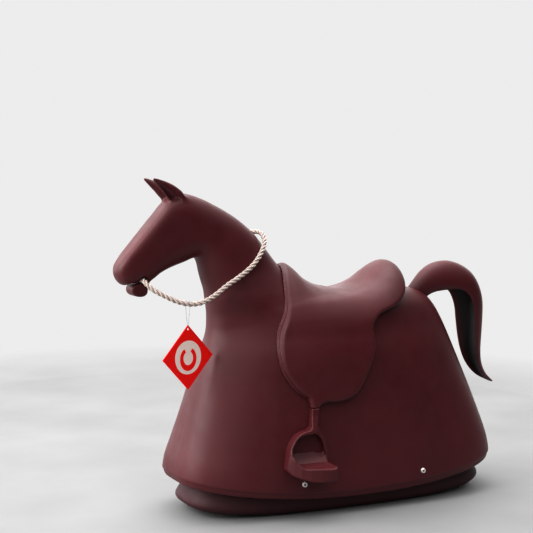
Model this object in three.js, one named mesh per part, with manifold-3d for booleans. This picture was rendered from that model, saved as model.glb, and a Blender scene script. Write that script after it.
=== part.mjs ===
// Rocking horse for a young child: a hollow moulded bell-shaped horse standing on an inset rocker base.
// Millimetres, +X towards the nose, +Y to the horse's left, +Z up.
// The origin is on the floor, midway between nose and tail, in the plane of symmetry.
import * as THREE from 'three';
import { mergeVertices } from 'three/addons/utils/BufferGeometryUtils.js';
import Module from 'manifold-3d';

// ---------------------------------------------------------------- driving dimensions
const FIT_GAP = 0.3; // clearance between faces that touch
const WALL = 6; // moulded wall thickness
const CENTRE_X = -36; // middle of the skirt and of the rocker
const RIM_Z = 75; // height of the skirt's rim at its front and rear ends
const REACH = 260; // a cutting prism of this half length passes right through the horse

const BASE_HALF_LENGTH = 370;
const BASE_HALF_WIDTH = 131;
const BASE_SQUARENESS = 3.3;
const ROCKER_RADIUS = 4000;
const ROCKER_FLAT = 60; // half length of the flat band in the middle of the rocker
const STRIP_PROUD = 3; // how far the rubber strips stand out of the base
const STRIP_DEPTH = 2; // how far they are let into it
const STRIP_WIDTH = 18;
const STRIP_Y = 92;
const STRIP_HALF_LENGTH = 285;

const SADDLE_THICKNESS = 13;
const FLAP_END_Z = 234; // the flap ends here and the strap of the stirrup begins
const TREAD_TOP_Z = 116;
const TREAD_BOTTOM_Z = 86;
const TREAD_OUTER_Y = 216;
const STIRRUP_INNER_Y = 120; // the stirrup is drawn from here outwards and cut to the horse's side

const SIDE_SCREW_X = [113, -185];
const SIDE_SCREW_Z = 73;
const BOLT_RADIUS = 3.9;
const ROPE_DIAMETER = 10.6;
const TAG_HALF_DIAGONAL = 69;
const TAG_THICKNESS = 1.6;

const COLOUR = {
  shell: 0x4a2228,
  dark: 0x2c1518,
  rubber: 0x151314,
  steel: 0xc9c9c6,
  brass: 0xb08d4a,
  rope: 0xd9cbb8,
  red: 0xc8161d,
  clear: 0xe8e8e4,
};

// ---------------------------------------------------------------- solids and meshes
const wasm = await Module();
wasm.setup();

function toSolid(geometry) {
  const bare = geometry.index ? geometry.toNonIndexed() : geometry.clone();
  bare.deleteAttribute('normal');
  bare.deleteAttribute('uv');
  const merged = mergeVertices(bare, 1e-4);
  return new wasm.Manifold(new wasm.Mesh({
    numProp: 3,
    vertProperties: new Float32Array(merged.attributes.position.array),
    triVerts: new Uint32Array(merged.index.array),
  }));
}

function toGeometry(solid) {
  const mesh = solid.getMesh();
  const geometry = new THREE.BufferGeometry();
  geometry.setAttribute('position', new THREE.BufferAttribute(new Float32Array(mesh.vertProperties), 3));
  geometry.setIndex(new THREE.BufferAttribute(new Uint32Array(mesh.triVerts), 1));
  geometry.computeVertexNormals();
  return geometry;
}

function finish(colour, roughness, metalness = 0) {
  return new THREE.MeshStandardMaterial({ color: colour, roughness, metalness });
}

const group = new THREE.Group();

function addPart(name, shape, material) {
  const geometry = shape.isBufferGeometry ? shape : toGeometry(shape);
  const mesh = new THREE.Mesh(geometry, material);
  mesh.name = name;
  group.add(mesh);
  return mesh;
}

// A prism: an outline drawn in two of the three axes, run along the third one from low to high.
function prism(outline, axis, low, high) {
  const depth = high - low;
  const geometry = new THREE.ExtrudeGeometry(outline, { depth, bevelEnabled: false, curveSegments: 8 });
  const [x, y, z] = [new THREE.Vector3(1, 0, 0), new THREE.Vector3(0, 1, 0), new THREE.Vector3(0, 0, 1)];
  const turn = new THREE.Matrix4();
  if (axis === 'x') turn.makeBasis(y, z, x);
  if (axis === 'y') turn.makeBasis(x, z, y.clone().negate());
  geometry.translate(0, 0, axis === 'y' ? -high : low);
  geometry.applyMatrix4(turn);
  return toSolid(geometry);
}

// A closed flat outline through corners given as pairs.
function polygon(corners) {
  return new THREE.Shape(corners.map(([u, v]) => new THREE.Vector2(u, v)));
}

// A flat outline of straight legs [u, v] and curved legs [pull u, pull v, end u, end v].
function outlineOf([start, ...legs]) {
  const outline = new THREE.Shape();
  outline.moveTo(...start);
  for (const leg of legs) {
    if (leg.length === 2) outline.lineTo(...leg);
    else outline.quadraticCurveTo(...leg);
  }
  return outline;
}

// A plain cylinder or cone from one point to another.
function rod(from, to, radius, sides = 12, endRadius = radius) {
  const span = new THREE.Vector3().subVectors(to, from);
  const geometry = new THREE.CylinderGeometry(endRadius, radius, span.length(), sides);
  geometry.applyQuaternion(new THREE.Quaternion().setFromUnitVectors(
    new THREE.Vector3(0, 1, 0), span.clone().normalize()));
  const middle = new THREE.Vector3().addVectors(from, to).multiplyScalar(0.5);
  geometry.translate(middle.x, middle.y, middle.z);
  return geometry;
}

// Skins a stack of closed rings that all have the same number of points, with a fan over each end.
function loft(rings) {
  const count = rings[0].length;
  const points = rings.flat();
  const faces = [];
  for (let r = 0; r + 1 < rings.length; r += 1) {
    for (let i = 0; i < count; i += 1) {
      const j = (i + 1) % count;
      const [a, b, c, d] = [r * count + i, r * count + j, (r + 1) * count + j, (r + 1) * count + i];
      faces.push([a, b, c], [a, c, d]);
    }
  }
  const ends = [[rings[0], 0, true], [rings.at(-1), (rings.length - 1) * count, false]];
  for (const [ring, start, flip] of ends) {
    const hub = points.length;
    points.push(ring.reduce((sum, p) => sum.add(p), new THREE.Vector3()).divideScalar(count));
    for (let i = 0; i < count; i += 1) {
      const j = (i + 1) % count;
      faces.push(flip ? [hub, start + j, start + i] : [hub, start + i, start + j]);
    }
  }
  const geometry = new THREE.BufferGeometry().setFromPoints(points);
  geometry.setIndex(faces.flat());
  const solid = toSolid(geometry);
  if (solid.volume() > 0) return solid;
  geometry.setIndex(faces.flatMap(([a, b, c]) => [a, c, b]));
  return toSolid(geometry);
}

// Skins rings that follow each other round a closed loop.
function ringGeometry(rings) {
  const count = rings[0].length;
  const faces = [];
  rings.forEach((_, r) => {
    const next = (r + 1) % rings.length;
    for (let i = 0; i < count; i += 1) {
      const j = (i + 1) % count;
      const [a, b, c, d] = [r * count + i, r * count + j, next * count + j, next * count + i];
      faces.push(a, b, c, a, c, d);
    }
  });
  const geometry = new THREE.BufferGeometry().setFromPoints(rings.flat());
  geometry.setIndex(faces);
  if (toSolid(geometry).volume() > 0) return geometry;
  for (let i = 0; i < faces.length; i += 3) {
    [faces[i], faces[i + 1]] = [faces[i + 1], faces[i]];
  }
  geometry.setIndex(faces);
  return geometry;
}

const signedPower = (value, power) => Math.sign(value) * Math.abs(value) ** power;

// ---------------------------------------------------------------- the horse's outer form
// The form is a fan of oval rings. Each ring crosses the front of the horse at one point of its profile and
// the back at another: level at the skirt, tilted over the seat, and square across the head.
// front and rear are [x, z] and half is the half width. The ovals' sides hang lower than their ends by droop.
// The last two numbers are their squareness in front and behind.
const FORM = [
  { front: [357, RIM_Z], rear: [-427, RIM_Z], half: 162, droop: 41, square: [3.3, 3.2] },
  { front: [360, 88], rear: [-430, 88], half: 163.5, droop: 40, square: [3.3, 3.2] },
  { front: [356, 120], rear: [-427, 120], half: 160, droop: 36, square: [3.2, 3.1] },
  { front: [343, 162], rear: [-414, 162], half: 154, droop: 30, square: [3, 3] },
  { front: [324, 225], rear: [-391, 225], half: 146, droop: 22, square: [2.7, 2.8] },
  { front: [305, 290], rear: [-364, 292], half: 137, droop: 14, square: [2.5, 2.6] },
  { front: [286, 345], rear: [-340, 348], half: 128, droop: 6, square: [2.35, 2.5] },
  { front: [275, 378], rear: [-321, 393], half: 115, droop: 0, square: [2.25, 2.4] },
  { front: [272, 400], rear: [-301, 430], half: 105, droop: 0, square: [2.2, 2.3] },
  { front: [271, 412], rear: [-278, 455], half: 99, droop: 0, square: [2.2, 2.2] },
  { front: [270.5, 421], rear: [-240, 472], half: 94.5, droop: 0, square: [2.25, 2.1] },
  { front: [270, 428], rear: [-190, 478], half: 91, droop: 0, square: [2.3, 2] },
  { front: [270, 435], rear: [-125, 471], half: 87.5, droop: 0, square: [2.35, 2] },
  { front: [270, 443], rear: [-60, 464], half: 83.5, droop: 0, square: [2.4, 2] },
  { front: [270.5, 453], rear: [0, 469], half: 79, droop: 0, square: [2.5, 2] },
  { front: [272, 467], rear: [48, 488], half: 73, droop: 0, square: [2.6, 2] },
  { front: [275, 484], rear: [84, 515], half: 66, droop: 0, square: [2.6, 2] },
  { front: [282, 504], rear: [112, 543], half: 59, droop: 0, square: [2.6, 2.1] },
  { front: [288, 524], rear: [138, 575], half: 55, droop: 0, square: [2.6, 2.2] },
  { front: [292, 542], rear: [170, 612], half: 52, droop: 0, square: [2.6, 2.2] },
  { front: [297, 553], rear: [212, 645], half: 49, droop: 0, square: [2.6, 2.2] },
  { front: [304, 557], rear: [262, 673], half: 47, droop: 0, square: [2.6, 2.2] },
  { front: [315, 555], rear: [305, 691], half: 45, droop: 0, square: [2.8, 2.4] },
  { front: [330, 549], rear: [338, 696], half: 43, droop: 0, square: [3, 3] },
  { front: [347, 543], rear: [366, 682], half: 41, droop: 0, square: [3, 4] },
  { front: [366, 536], rear: [392, 652], half: 39.5, droop: 0, square: [3, 5] },
  { front: [386, 526], rear: [419, 621], half: 38, droop: 0, square: [3, 5] },
  { front: [406, 512], rear: [443, 593], half: 36.5, droop: 0, square: [3, 5] },
  { front: [428, 509], rear: [461, 572], half: 35, droop: 0, square: [3, 5] },
  { front: [450, 505], rear: [472, 558], half: 33, droop: 0, square: [3, 4] },
  { front: [466, 503], rear: [481, 546], half: 28, droop: 0, square: [2.6, 3] },
  { front: [476, 510], rear: [484, 535], half: 18, droop: 0, square: [2.2, 2.4] },
  { front: [480.5, 517], rear: [484.4, 528], half: 9, droop: 0, square: [2.1, 2.1] },
];
const RING_POINTS = 30;
const HOLLOW_POINTS = 20;

// The point where an oval crosses the front or rear profile, moved outwards by grow, square to the profile.
function profilePoint(edge, index, grow) {
  const before = new THREE.Vector2(...FORM[Math.max(0, index - 1)][edge]);
  const after = new THREE.Vector2(...FORM[Math.min(FORM.length - 1, index + 1)][edge]);
  const along = after.sub(before).normalize();
  const outwards = new THREE.Vector2(along.y, -along.x).multiplyScalar(edge === 'front' ? 1 : -1);
  return new THREE.Vector2(...FORM[index][edge]).addScaledVector(outwards, grow);
}

// One oval of the form, made larger all round by grow.
function formRing(index, grow, points) {
  const station = FORM[index];
  const front = profilePoint('front', index, grow);
  const rear = profilePoint('rear', index, grow);
  const middle = front.clone().add(rear).multiplyScalar(0.5);
  const along = front.clone().sub(rear).multiplyScalar(0.5);
  const half = station.half + grow;
  return Array.from({ length: points }, (_, i) => {
    const angle = (i / points) * 2 * Math.PI;
    const square = Math.cos(angle) > 0 ? station.square[0] : station.square[1];
    const u = signedPower(Math.cos(angle), 2 / square);
    const v = signedPower(Math.sin(angle), 2 / square);
    const sag = station.droop * (1 - u * u);
    return new THREE.Vector3(middle.x + along.x * u, half * v, middle.y + along.y * u - sag);
  });
}

// The form up to its ring number last, made longer below the rim by skirtDrop.
function formSolid(grow, { last = FORM.length - 1, points = RING_POINTS, skirtDrop = 0 } = {}) {
  const rings = FORM.slice(0, last + 1).map((_, index) => formRing(index, grow, points));
  if (skirtDrop) rings.unshift(rings[0].map((p) => p.clone().setZ(p.z - skirtDrop)));
  return loft(rings);
}

const NECK_END = 20; // the ring at which the hollow stops, where the neck meets the head
const WITHER_RING = 18; // the saddle follows the form up to this ring
const SKIRT_RING = 4; // the rings up to this one make the skirt
const SKIRT_DROP = 50; // the hollow goes on this far below the rim
const clearanceForm = formSolid(2 * FIT_GAP);

// ---------------------------------------------------------------- ears
// Each ear is a pointed leaf, drawn from root to tip, with a scooped face turned outwards and forwards.
const EAR_ROOT = [342, 21.5, 677];
const EAR_TIP = [407, 29, 728];
const EAR_OUTWARDS = [0.3, 1, -0.1];
const EAR_CHORDS = [ // share of the length, half chord
  [0, 17], [0.25, 17.5], [0.5, 14.5], [0.75, 9.5], [0.92, 4.5], [1, 1.4],
];
const EAR_BOW = 6; // how far the leaf's spine bends upwards
const EAR_BACK_DEPTH = 0.62; // the sections' sizes as shares of the half chord
const EAR_SCOOP_HALF = 0.84;
const EAR_SCOOP_DEPTH = 0.28;

function ear(side) {
  const place = ([x, y, z]) => new THREE.Vector3(x, side * y, z);
  const [root, tip, outwards] = [EAR_ROOT, EAR_TIP, EAR_OUTWARDS].map(place);
  const along = tip.clone().sub(root).normalize();
  const across = new THREE.Vector3().crossVectors(along, outwards.normalize()).normalize();
  const back = Array.from({ length: 7 }, (_, i) => (i * Math.PI) / 6)
    .map((angle) => [Math.cos(angle), -EAR_BACK_DEPTH * Math.sin(angle)]);
  const scoop = Array.from({ length: 5 }, (_, i) => ((i + 1) * Math.PI) / 6)
    .map((angle) => [-EAR_SCOOP_HALF * Math.cos(angle), -EAR_SCOOP_DEPTH * Math.sin(angle)]);
  return loft(EAR_CHORDS.map(([share, halfChord]) => {
    const bow = side * EAR_BOW * Math.sin(Math.PI * share);
    const centre = root.clone().lerp(tip, share).addScaledVector(across, bow);
    return [...back, ...scoop].map(([chordwise, outward]) => centre.clone()
      .addScaledVector(across, chordwise * halfChord).addScaledVector(outwards, outward * halfChord));
  }));
}

// ---------------------------------------------------------------- lower jaw and mouth
const LOWER_JAW = [[404, 522], [417, 500], [413, 480, 428, 477], [446, 475, 450, 487], [452, 495, 442, 500],
  [426, 505], [414, 524]];
const LOWER_JAW_HALF = 24;
const MOUTH = { x: 428, z: 514, radius: 7.5, half: 60 };
const LIPS = [[MOUTH.x, 508], [458, 499.5], [458, 502.5], [MOUTH.x, 511]];

function lowerJaw() {
  return prism(outlineOf(LOWER_JAW), 'y', -LOWER_JAW_HALF, LOWER_JAW_HALF);
}

function mouthPoint(y) {
  return new THREE.Vector3(MOUTH.x, y, MOUTH.z);
}

// The round corner of the mouth goes right through, and a narrow slit runs forwards from it between the lips.
function mouthCut() {
  const corner = toSolid(rod(mouthPoint(-MOUTH.half), mouthPoint(MOUTH.half), MOUTH.radius, 16));
  return corner.add(prism(polygon(LIPS), 'y', -MOUTH.half, MOUTH.half));
}

// ---------------------------------------------------------------- saddle
// The edge of the saddle seen from the side: straight legs, and curved legs with their pull first.
const SADDLE_EDGE = [
  [84, 560], [112, 520, 117, 470], [122, 438, 139, 410], [151, 385, 151, 350], [150, 312, 131, 289],
  [116, 268, 96, 256], [92, 250, 91, FLAP_END_Z], [72, FLAP_END_Z], [70, 248, 12, 252], [-70, 266, -76, 350],
  [-76, 372, -72, 392], [-74, 416, -104, 430], [-150, 440, -175, 468], [-193, 490, -191, 525],
  [-188, 548, -172, 560],
];

// The seat rises to a pommel in front and to a cantle behind: [x, crown height, half width at its foot]
const SEAT = [
  [-205, 524, 96], [-190, 534, 106], [-168, 539, 116], [-140, 525, 122], [-112, 503, 125], [-80, 485, 127],
  [-46, 478, 127], [-10, 482, 124], [24, 493, 116], [52, 509, 104], [76, 528, 90], [92, 530, 82],
  [120, 520, 72],
];
const SEAT_SQUARENESS = 2.15;
const SEAT_FOOT_Z = 395;
const SEAT_SKIRT = 40; // how far the seat's block goes on below its foot, inside the flaps
const ARCH_STEPS = 12;

function seatSolid() {
  return loft(SEAT.map(([x, crown, half]) => {
    const arch = Array.from({ length: ARCH_STEPS + 1 }, (_, i) => {
      const angle = (i / ARCH_STEPS) * Math.PI;
      const v = signedPower(Math.cos(angle), 2 / SEAT_SQUARENESS);
      const u = signedPower(Math.sin(angle), 2 / SEAT_SQUARENESS);
      return new THREE.Vector3(x, half * v, SEAT_FOOT_Z + (crown - SEAT_FOOT_Z) * u);
    });
    const foot = [-half, half].map((y) => new THREE.Vector3(x, y, SEAT_FOOT_Z - SEAT_SKIRT));
    return [...arch, ...foot];
  }));
}

function saddleSolid() {
  const block = seatSolid().add(formSolid(SADDLE_THICKNESS, { last: WITHER_RING }));
  return block.intersect(prism(outlineOf(SADDLE_EDGE), 'y', -REACH, REACH)).subtract(clearanceForm);
}

// ---------------------------------------------------------------- stirrup: strap, ring and foot tread
const STRAP_TOP_Z = FLAP_END_Z - FIT_GAP;
const STIRRUP_FACE = [ // the edge seen from the side, from the strap round the ring and the tread
  [91, STRAP_TOP_Z], [97, 197], [99, 190, 108, 189], [131, 186, 143, 168], [152, 156, 155, 140], [161, 112],
  [158, 100, 131, 92], [112, TREAD_BOTTOM_Z, 95, TREAD_BOTTOM_Z], [66, TREAD_BOTTOM_Z],
  [58, TREAD_BOTTOM_Z, 57, 96], [56, 128], [58, 142], [61, 167, 72, 181], [80, 190, 81, 199],
  [73, STRAP_TOP_Z],
];
const STIRRUP_OPENING = [
  [66, TREAD_TOP_Z], [128, TREAD_TOP_Z], [144, 122, 148, 142], [148, 152, 140, 163], [130, 180, 110, 181],
  [92, 182], [74, 176, 68, 150], [65, 134],
];
const STIRRUP_FRONT_VIEW = [ // y and z
  [STIRRUP_INNER_Y, FLAP_END_Z], [154, FLAP_END_Z], [156, 220], [161, 204], [166, 188], [169, 168],
  [172, 152], [178, 140], [188, 130], [200, 122.5], [210, 118], [TREAD_OUTER_Y, 112], [TREAD_OUTER_Y, 92],
  [211, TREAD_BOTTOM_Z], [STIRRUP_INNER_Y, TREAD_BOTTOM_Z],
];
const STIRRUP_PLAN = [ // x and y
  [162, STIRRUP_INNER_Y], [162, 158], [158, 171], [150, 182], [137, 194], [119, 204], [97, 212],
  [78, TREAD_OUTER_Y], [66, TREAD_OUTER_Y], [60, 212], [57, 204], [55, 180], [54, STIRRUP_INNER_Y],
];
const HEEL = [ // the fillet between the tread and the horse's side, y and z
  [STIRRUP_INNER_Y, 142], [152, 142], [159, 131], [170, 121], [188, TREAD_TOP_Z], [188, 100],
  [STIRRUP_INNER_Y, 100],
];
const HEEL_X = [61, 151];
const REAR_ARM = { frontX: 84, outerY: 163 }; // above the tread, the ring's rear arm stays close to the horse

function stirrupSolid() {
  const face = outlineOf(STIRRUP_FACE);
  face.holes.push(outlineOf(STIRRUP_OPENING));
  const { frontX, outerY } = REAR_ARM;
  const beyondRearArm = polygon([[0, outerY], [frontX, outerY], [frontX, REACH], [0, REACH]]);
  return prism(face, 'y', STIRRUP_INNER_Y, REACH)
    .intersect(prism(polygon(STIRRUP_FRONT_VIEW), 'x', 0, REACH))
    .subtract(prism(beyondRearArm, 'z', TREAD_TOP_Z, REACH))
    .add(prism(polygon(HEEL), 'x', ...HEEL_X))
    .intersect(prism(polygon(STIRRUP_PLAN), 'z', 0, REACH))
    .subtract(clearanceForm);
}

const mirrored = (solid) => solid.mirror([0, 1, 0]);

// ---------------------------------------------------------------- tail
// [outer edge x, z], [inner edge x, z], half width, depth of the scoop as a share of the section's depth
const TAIL = [
  [[-236, 462], [-268, 436], 22, -0.08], [[-252, 481], [-284, 452], 25, -0.08],
  [[-277, 508], [-303, 461], 30, -0.08], [[-307, 526], [-322, 464], 35, -0.06],
  [[-344, 532], [-345, 463], 39, 0.05], [[-379, 524], [-366, 458], 42, 0.4],
  [[-411, 504], [-381, 446], 44, 0.68], [[-431, 475], [-390, 430], 45, 0.8],
  [[-441, 441], [-396, 410], 45, 0.84], [[-442, 405], [-399, 382], 44, 0.84],
  [[-439, 360], [-404, 340], 41, 0.82], [[-437, 319], [-411, 305], 36, 0.78],
  [[-441, 287], [-424, 273], 29, 0.7], [[-457, 257], [-446, 247], 19, 0.55],
  [[-484, 232], [-479, 230], 5, 0.2],
];
const TAIL_SQUARENESS = 0.85;
const SCOOP_HALF = 0.84; // half width of the scoop as a share of the tail's
const BACK_STEPS = 10;
const SCOOP_STEPS = 6;

function tailSolid() {
  return loft(TAIL.map(([outer, inner, half, scoop]) => {
    const at = (share, y) => new THREE.Vector3(
      outer[0] + (inner[0] - outer[0]) * share, y, outer[1] + (inner[1] - outer[1]) * share);
    const back = Array.from({ length: BACK_STEPS + 1 }, (_, i) => {
      const angle = (i / BACK_STEPS) * Math.PI;
      const depth = signedPower(Math.sin(angle), TAIL_SQUARENESS);
      return at(1 - depth, half * signedPower(Math.cos(angle), TAIL_SQUARENESS));
    });
    const front = Array.from({ length: SCOOP_STEPS }, (_, i) => {
      const angle = ((i + 0.5) / SCOOP_STEPS) * Math.PI;
      return at(1 - scoop * Math.sin(angle), -SCOOP_HALF * half * Math.cos(angle));
    });
    return [...back, ...front];
  })).subtract(clearanceForm);
}

// ---------------------------------------------------------------- rocker base and its rubber strips
// An open tub that is widest low down. Rings of the tub: [scale, level, share of the rocker's curve]
const BASE_OUTSIDE = [
  [0.35, STRIP_PROUD, 1], [0.7, STRIP_PROUD, 1], [0.93, STRIP_PROUD, 1], [0.97, 5, 1], [0.988, 9, 1],
  [1, 21, 0.85], [0.977, 42, 0.45], [0.955, 58, 0.2], [0.935, 76, 0], [0.92, 96, 0],
];
const BASE_INSIDE = [ // drawn a wall thickness smaller
  [0.9, STRIP_PROUD + WALL, 1], [0.98, 21, 0.85], [0.965, 42, 0.45], [0.945, 58, 0.2], [0.925, 76, 0],
  [0.91, 101, 0],
];
const BASE_POINTS = 36;

// How far the rocker has risen from the floor at x.
function rockerZ(x) {
  const run = Math.max(0, Math.abs(x - CENTRE_X) - ROCKER_FLAT);
  return (run * run) / (2 * ROCKER_RADIUS);
}

function tubSolid(rings, inset) {
  return loft(rings.map(([scale, level, share]) => Array.from({ length: BASE_POINTS }, (_, i) => {
    const angle = (i / BASE_POINTS) * 2 * Math.PI;
    const u = signedPower(Math.cos(angle), 2 / BASE_SQUARENESS);
    const v = signedPower(Math.sin(angle), 2 / BASE_SQUARENESS);
    const x = CENTRE_X + (BASE_HALF_LENGTH - inset) * scale * u;
    return new THREE.Vector3(x, (BASE_HALF_WIDTH - inset) * scale * v, level + share * rockerZ(x));
  })));
}

const FLAT_SHARE = ROCKER_FLAT / STRIP_HALF_LENGTH;
const STRIP_STATIONS = [-1, -0.62, -0.36, -FLAT_SHARE, FLAT_SHARE, 0.36, 0.62, 1];

function stripSolid(side, grow = 0) {
  return loft(STRIP_STATIONS.map((share) => {
    const x = CENTRE_X + share * (STRIP_HALF_LENGTH + grow);
    const low = rockerZ(x) - grow;
    const high = rockerZ(x) + STRIP_PROUD + STRIP_DEPTH + grow;
    const near = side * STRIP_Y - STRIP_WIDTH / 2 - grow;
    const far = side * STRIP_Y + STRIP_WIDTH / 2 + grow;
    return [[near, low], [far, low], [far, high], [near, high]].map(([y, z]) => new THREE.Vector3(x, y, z));
  }));
}

// Lugs on the tub's sides reach out to the skirt. Each holds a threaded insert for a side screw.
const LUG_HALF = 16;
const LUG_INNER_Y = 116;
const INSERT_RADIUS = 6.2;
const INSERT_Y = [134, 148];
const LUG_DRILL_Y = 110; // the screw's clearance hole starts here, inside the tub

function baseSolid() {
  let base = tubSolid(BASE_OUTSIDE, 0).subtract(tubSolid(BASE_INSIDE, WALL));
  const insideSkirt = formSolid(-WALL - 2 * FIT_GAP, {
    last: SKIRT_RING, points: HOLLOW_POINTS, skirtDrop: SKIRT_DROP,
  });
  for (const side of [1, -1]) {
    base = base.subtract(stripSolid(side, FIT_GAP));
    for (const x of SIDE_SCREW_X) {
      const [left, right] = [x - LUG_HALF, x + LUG_HALF];
      const [low, high] = [SIDE_SCREW_Z - LUG_HALF, SIDE_SCREW_Z + LUG_HALF];
      const lug = polygon([[left, low], [right, low], [right, high], [left, high]]);
      const span = side > 0 ? [LUG_INNER_Y, REACH] : [-REACH, -LUG_INNER_Y];
      const at = (y) => new THREE.Vector3(x, side * y, SIDE_SCREW_Z);
      base = base.add(prism(lug, 'y', ...span).intersect(insideSkirt))
        .subtract(toSolid(rod(at(INSERT_Y[0] - 1), at(REACH), INSERT_RADIUS + FIT_GAP, 14)))
        .subtract(toSolid(rod(at(LUG_DRILL_Y), at(REACH), BOLT_RADIUS + 2 * FIT_GAP)));
    }
  }
  return base;
}

// ---------------------------------------------------------------- fasteners
const SIDE_SCREW = { headRadius: 7, headHeight: 4.4 };
const SIDE_SCREW_REACH = 25;
const INNER_BOLT = { headRadius: 8.5, headHeight: 5 };
const HEAD_TAPER = 0.72; // the head's face as a share of its foot
const SOCKET_RADIUS = 2.9;
const SOCKET_FLOOR = 0.35; // height of the socket's floor as a share of the head's
const HOLE_RADIUS = BOLT_RADIUS + 0.4;
const RECESS_GAP = 1; // round a head that sits in a recess
const RECESS_DEPTH = 8; // how far an inner recess is cut on beyond the head
const OVERRUN = 1; // a hole goes on this far beyond the end of its bolt
const SIDE_SCREW_SEAT_Y = 157.6;

function drill(from, direction, start, end, radius, sides = 12) {
  const at = (distance) => from.clone().addScaledVector(direction, distance);
  return toSolid(rod(at(start), at(end), radius, sides));
}

// A screw with a round head, a hexagon socket and a plain shank, pointing along direction.
function screw(seat, direction, { headRadius, headHeight }, reach) {
  const top = seat.clone().addScaledVector(direction, -headHeight);
  const head = toSolid(rod(seat, top, headRadius, 10, headRadius * HEAD_TAPER));
  return head.add(drill(seat, direction, -OVERRUN, reach, BOLT_RADIUS, 10))
    .subtract(drill(seat, direction, -headHeight * SOCKET_FLOOR, -headHeight - OVERRUN, SOCKET_RADIUS, 6));
}

const steel = finish(COLOUR.steel, 0.3, 0.9);
const brass = finish(COLOUR.brass, 0.4, 0.9);
const fasteners = [];
const wallHoles = [];
const blindHoles = { saddle: [], tail: [], stirrup: [] };
const leftRight = [['left', 1], ['right', -1]];

// Screws through the skirt into the lugs of the base
for (const [sideName, side] of leftRight) {
  ['front', 'rear'].forEach((place, i) => {
    const at = (y) => new THREE.Vector3(SIDE_SCREW_X[i], side * y, SIDE_SCREW_Z);
    const seat = at(SIDE_SCREW_SEAT_Y);
    const inwards = new THREE.Vector3(0, -side, 0);
    const insert = toSolid(rod(at(INSERT_Y[0]), at(INSERT_Y[1]), INSERT_RADIUS, 10));
    const bore = toSolid(rod(at(LUG_DRILL_Y), at(REACH), BOLT_RADIUS + FIT_GAP, 10));
    const end = `${place}_${sideName}`;
    fasteners.push([`side_screw_${end}`, screw(seat, inwards, SIDE_SCREW, SIDE_SCREW_REACH), steel]);
    fasteners.push([`threaded_insert_${end}`, insert.subtract(bore), brass]);
    wallHoles.push(drill(seat, inwards, 0, 2 * WALL, HOLE_RADIUS));
    wallHoles.push(drill(seat, inwards, FIT_GAP, -2 * WALL, SIDE_SCREW.headRadius + RECESS_GAP, 16));
  });
}

// Bolts from inside the shell. Each holds a piece that sits on the outside.
function innerBolt(name, seat, direction, reach, holes) {
  fasteners.push([name, screw(seat, direction, INNER_BOLT, reach), steel]);
  wallHoles.push(drill(seat, direction, 0, reach + OVERRUN, HOLE_RADIUS));
  wallHoles.push(drill(seat, direction, -RECESS_DEPTH, FIT_GAP, INNER_BOLT.headRadius + RECESS_GAP, 14));
  holes.push(drill(seat, direction, 0, reach + OVERRUN, HOLE_RADIUS));
}

// [name, the seat of its head inside the left wall, direction, reach, the holes it goes into]
const SIDEWAYS = [0, 1, 0];
const INNER_BOLTS = [
  ['tail_bolt', [-263, 12, 452], [-0.6, 0, 0.8], 24, blindHoles.tail],
  ['saddle_bolt_front', [78, 119, 330], SIDEWAYS, 16, blindHoles.saddle],
  ['saddle_bolt_rear', [-30, 121, 330], SIDEWAYS, 16, blindHoles.saddle],
  ['stirrup_bolt_front', [134, 145, 101], SIDEWAYS, 40, blindHoles.stirrup],
  ['stirrup_bolt_rear', [84, 147, 101], SIDEWAYS, 40, blindHoles.stirrup],
];

for (const [sideName, side] of leftRight) {
  const sided = ([x, y, z]) => new THREE.Vector3(x, side * y, z);
  for (const [name, seat, direction, reach, holes] of INNER_BOLTS) {
    innerBolt(`${name}_${sideName}`, sided(seat), sided(direction), reach, holes);
  }
}

const cutAll = (solid, cuts) => cuts.reduce((rest, cut) => rest.subtract(cut), solid);

// ---------------------------------------------------------------- rope rein
// The rope leaves the left corner of the mouth, hangs slack beside the neck, crosses the crest, and runs
// tight along the right cheek back into the mouth, where a ferrule joins its ends.
const ROPE_ROUTE = [
  [428, 13.4, 514], [429, 26, 513.5], [427, 38, 508], [418, 47, 497], [393, 57, 482], [368, 64, 470],
  [340, 69, 463], [312, 71, 466], [283, 71, 480], [254, 70, 500], [223, 68, 518], [192, 64.5, 540],
  [167, 54, 566], [151, 37, 588], [146, 17, 604], [149, 0, 610], [157, -18, 609], [170, -37, 604],
  [192, -52, 595], [222, -60, 581], [255, -59, 568], [290, -57, 557], [325, -54, 546], [360, -51, 535],
  [395, -47, 524], [419, -41, 516], [428, -28, 513.5], [428, -13.4, 514],
];
const ROPE_STEPS = 56;
const FERRULE_HALF = 13;
const FERRULE_RADIUS = 6.4;

function ropeGeometry() {
  const route = ROPE_ROUTE.map((point) => new THREE.Vector3(...point));
  const extrudePath = new THREE.CatmullRomCurve3(route, false, 'centripetal');
  const circle = new THREE.Shape();
  circle.absarc(0, 0, ROPE_DIAMETER / 2, 0, 2 * Math.PI);
  const section = new THREE.Shape(circle.getPoints(2).slice(0, -1));
  return new THREE.ExtrudeGeometry(section, { steps: ROPE_STEPS, extrudePath, bevelEnabled: false });
}

// ---------------------------------------------------------------- swing tag on its loop
const TAG_CENTRE = new THREE.Vector3(345, 68.4, 350);
const TAG_DIRECTION = new THREE.Vector3(0.948, 0.317, 0); // along the card, level
const TAG_HOLE_DROP = 9; // hole centre below the top corner
const TAG_HOLE_RADIUS = 2.6;

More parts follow.
